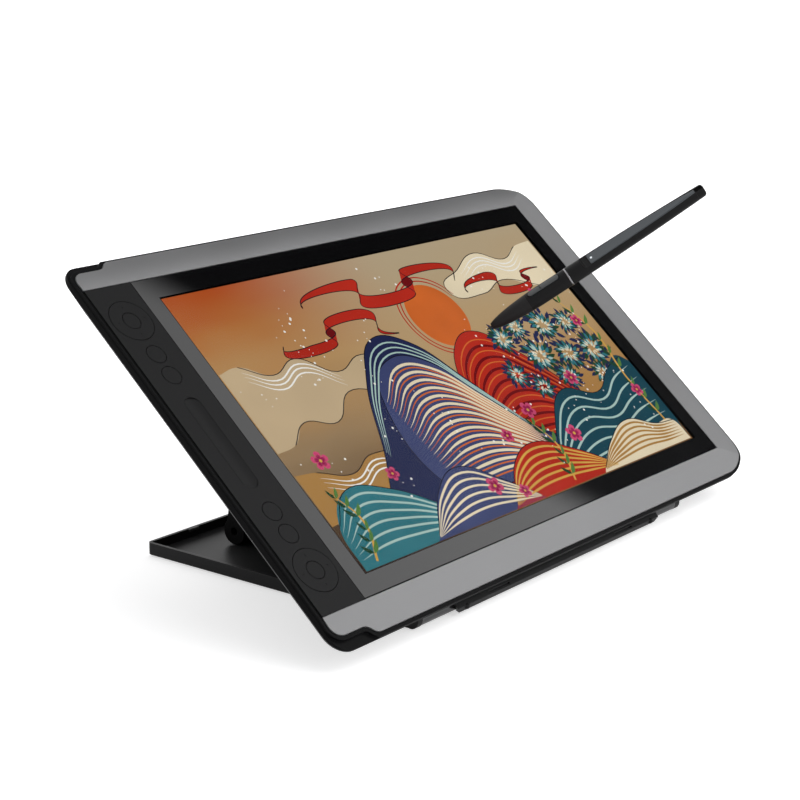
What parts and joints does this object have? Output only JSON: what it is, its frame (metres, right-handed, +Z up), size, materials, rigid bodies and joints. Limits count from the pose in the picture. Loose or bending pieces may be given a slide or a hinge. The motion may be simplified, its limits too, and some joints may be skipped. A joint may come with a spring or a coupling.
{
  "type": "graphics tablet with screen",
  "caption": "Pen display on a folding desk stand: glass screen, silver front frame, left key console with ring pads and touch strip, hinged tray, support leg and pen.",
  "frame": {"origin": "middle of the stand tray's footprint on the desk, on the underside of the middle rubber foot", "axes": "+X to the right along the screen, +Y away from the user, +Z up"},
  "size_m": [0.4326, 0.2125, 0.2079],
  "materials": {
    "silver_band": "satin silver-grey paint",
    "rim_black": "satin black moulding",
    "shell_black": "fine textured black moulding",
    "black_steel": "black oxide",
    "screen_glass": "clear polished",
    "border_ink": "black ink under glass",
    "screen_panel": "lit screen",
    "white_sheet": "white film",
    "circuit_board": "green solder mask",
    "shield_metal": "mill",
    "ribbon_film": "amber film",
    "socket_plastic": "moulded",
    "socket_metal": "plated",
    "console_black": "satin black",
    "dome_metal": "bright",
    "stand_black": "fine textured black",
    "catch_grey": "moulded",
    "rubber_black": "matt",
    "barrel_metal": "dark gunmetal gloss",
    "shaft_steel": "ground",
    "pen_rubber": "soft matt",
    "pen_black": "satin",
    "pen_chrome": "polished",
    "pen_plate": "anodised blue-grey",
    "pen_light": "light window",
    "coil_ferrite": "wound coil",
    "battery_foil": "foil",
    "nib_plastic": "moulded",
    "rocker_gloss": "gloss black",
    "silicone_grey": "silicone",
    "key_black": "satin black"
  },
  "bodies": {
    "stand_base": {"base_tray": "stand_black", "tray_catches": "catch_grey", "tray_feet": "rubber_black", "hinge_barrels": "barrel_metal", "hinge_shafts": "shaft_steel", "leg_pin": "shaft_steel"},
    "display": {"front_frame": "silver_band", "middle_frame": "rim_black", "rear_cover": "shell_black", "cover_screws": "black_steel", "glass_cover": "screen_glass", "glass_border": "border_ink", "lcd_panel": "screen_panel", "backlight_unit": "white_sheet", "digitizer_board": "circuit_board", "shield_plate": "shield_metal", "main_board": "circuit_board", "screen_ribbon": "ribbon_film", "port_board": "circuit_board", "power_jack": "socket_plastic", "video_socket": "socket_metal", "usb_socket": "socket_metal", "console_panel": "console_black", "touch_strip": "console_black", "key_board": "circuit_board", "key_domes": "dome_metal", "menu_board": "circuit_board", "stand_plate": "stand_black", "stand_rails": "stand_black", "plate_screws": "black_steel"},
    "leg": {"support_leg": "stand_black", "leg_pad": "rubber_black"},
    "lower_ring_carrier": {"lower_ring_gimbal": "silicone_grey"},
    "lower_ring_cap": {"lower_ring": "key_black"},
    "lower_ring_centre": {"lower_ring_button": "key_black"},
    "upper_ring_carrier": {"upper_ring_gimbal": "silicone_grey"},
    "upper_ring_cap": {"upper_ring": "key_black"},
    "upper_ring_centre": {"upper_ring_button": "key_black"},
    "shortcut_a": {"shortcut_key_a": "key_black"},
    "shortcut_b": {"shortcut_key_b": "key_black"},
    "shortcut_c": {"shortcut_key_c": "key_black"},
    "shortcut_d": {"shortcut_key_d": "key_black"},
    "power_key_body": {"power_key": "key_black"},
    "menu_key_a_body": {"menu_key_a": "key_black"},
    "menu_key_b_body": {"menu_key_b": "key_black"},
    "menu_key_c_body": {"menu_key_c": "key_black"},
    "menu_key_d_body": {"menu_key_d": "key_black"},
    "pen": {"pen_grip": "pen_rubber", "pen_shell": "pen_black", "pen_ring": "pen_chrome", "pen_tail_cap": "pen_black", "pen_flat_plate": "pen_plate", "pen_light": "pen_light", "pen_coil": "coil_ferrite", "pen_sensor": "socket_metal", "pen_board": "circuit_board", "pen_battery": "battery_foil"},
    "pen_nib_body": {"pen_nib": "nib_plastic"},
    "pen_rocker_body": {"pen_rocker": "rocker_gloss"}
  },
  "joints": [
    {"name": "display_tilt", "type": "hinge", "parent": "stand_base", "child": "display", "pos_m": [0, -0.0965, 0.0056], "axis": [1, 0, 0], "range_deg": [-8, 8]},
    {"name": "leg_swing", "type": "hinge", "parent": "stand_base", "child": "leg", "pos_m": [0, 0.0688, 0.0111], "axis": [1, 0, 0], "range_deg": [-23.3, 23.3]},
    {"name": "lower_ring_rock_y", "type": "hinge", "parent": "display", "child": "lower_ring_carrier", "pos_m": [-0.1954, -0.07629, 0.04301], "axis": [1, 0, 0], "range_deg": [-2, 2], "stiffness_Nm_per_rad": 0.3},
    {"name": "lower_ring_rock_x", "type": "hinge", "parent": "lower_ring_carrier", "child": "lower_ring_cap", "pos_m": [-0.1954, -0.07629, 0.04301], "axis": [0, 0.7501, 0.6613], "range_deg": [-2, 2], "stiffness_Nm_per_rad": 0.3},
    {"name": "lower_ring_centre_press", "type": "slide", "parent": "display", "child": "lower_ring_centre", "axis": [0, 0.6613, -0.7501], "range_m": [0, 0.0005], "stiffness_N_per_m": 600, "springref_m": -0.0005},
    {"name": "upper_ring_rock_y", "type": "hinge", "parent": "display", "child": "upper_ring_carrier", "pos_m": [-0.1954, 0.05205, 0.15616], "axis": [1, 0, 0], "range_deg": [-2, 2], "stiffness_Nm_per_rad": 0.3},
    {"name": "upper_ring_rock_x", "type": "hinge", "parent": "upper_ring_carrier", "child": "upper_ring_cap", "pos_m": [-0.1954, 0.05205, 0.15616], "axis": [0, 0.7501, 0.6613], "range_deg": [-2, 2], "stiffness_Nm_per_rad": 0.3},
    {"name": "upper_ring_centre_press", "type": "slide", "parent": "display", "child": "upper_ring_centre", "axis": [0, 0.6613, -0.7501], "range_m": [0, 0.0005], "stiffness_N_per_m": 600, "springref_m": -0.0005},
    {"name": "shortcut_a_press", "type": "slide", "parent": "display", "child": "shortcut_a", "axis": [0, 0.6613, -0.7501], "range_m": [0, 0.0005], "stiffness_N_per_m": 600, "springref_m": -0.0005},
    {"name": "shortcut_b_press", "type": "slide", "parent": "display", "child": "shortcut_b", "axis": [0, 0.6613, -0.7501], "range_m": [0, 0.0005], "stiffness_N_per_m": 600, "springref_m": -0.0005},
    {"name": "shortcut_c_press", "type": "slide", "parent": "display", "child": "shortcut_c", "axis": [0, 0.6613, -0.7501], "range_m": [0, 0.0005], "stiffness_N_per_m": 600, "springref_m": -0.0005},
    {"name": "shortcut_d_press", "type": "slide", "parent": "display", "child": "shortcut_d", "axis": [0, 0.6613, -0.7501], "range_m": [0, 0.0005], "stiffness_N_per_m": 600, "springref_m": -0.0005},
    {"name": "power_key_press", "type": "slide", "parent": "display", "child": "power_key_body", "axis": [0, -0.6613, 0.7501], "range_m": [0, 0.0005], "stiffness_N_per_m": 600, "springref_m": -0.0005},
    {"name": "menu_key_a_press", "type": "slide", "parent": "display", "child": "menu_key_a_body", "axis": [0, -0.6613, 0.7501], "range_m": [0, 0.0005], "stiffness_N_per_m": 600, "springref_m": -0.0005},
    {"name": "menu_key_b_press", "type": "slide", "parent": "display", "child": "menu_key_b_body", "axis": [0, -0.6613, 0.7501], "range_m": [0, 0.0005], "stiffness_N_per_m": 600, "springref_m": -0.0005},
    {"name": "menu_key_c_press", "type": "slide", "parent": "display", "child": "menu_key_c_body", "axis": [0, -0.6613, 0.7501], "range_m": [0, 0.0005], "stiffness_N_per_m": 600, "springref_m": -0.0005},
    {"name": "menu_key_d_press", "type": "slide", "parent": "display", "child": "menu_key_d_body", "axis": [0, -0.6613, 0.7501], "range_m": [0, 0.0005], "stiffness_N_per_m": 600, "springref_m": -0.0005},
    {"name": "pen_lift", "type": "slide", "parent": "display", "child": "pen", "axis": [0.5596, -0.6222, 0.5474], "range_m": [0, 0.12]},
    {"name": "nib_press", "type": "slide", "parent": "pen", "child": "pen_nib_body", "axis": [0.5596, -0.6222, 0.5474], "range_m": [0, 0.0005], "stiffness_N_per_m": 600, "springref_m": -0.0005},
    {"name": "pen_rocker_tilt", "type": "hinge", "parent": "pen", "child": "pen_rocker_body", "pos_m": [0.0887, -0.0263, 0.14432], "axis": [-0.3843, -0.78, -0.4938], "range_deg": [-2.5, 2.5], "stiffness_Nm_per_rad": 0.3}
  ],
  "couplings": [
    {"joint": "leg_swing", "follows": "display_tilt", "ratio": 2.9}
  ]
}
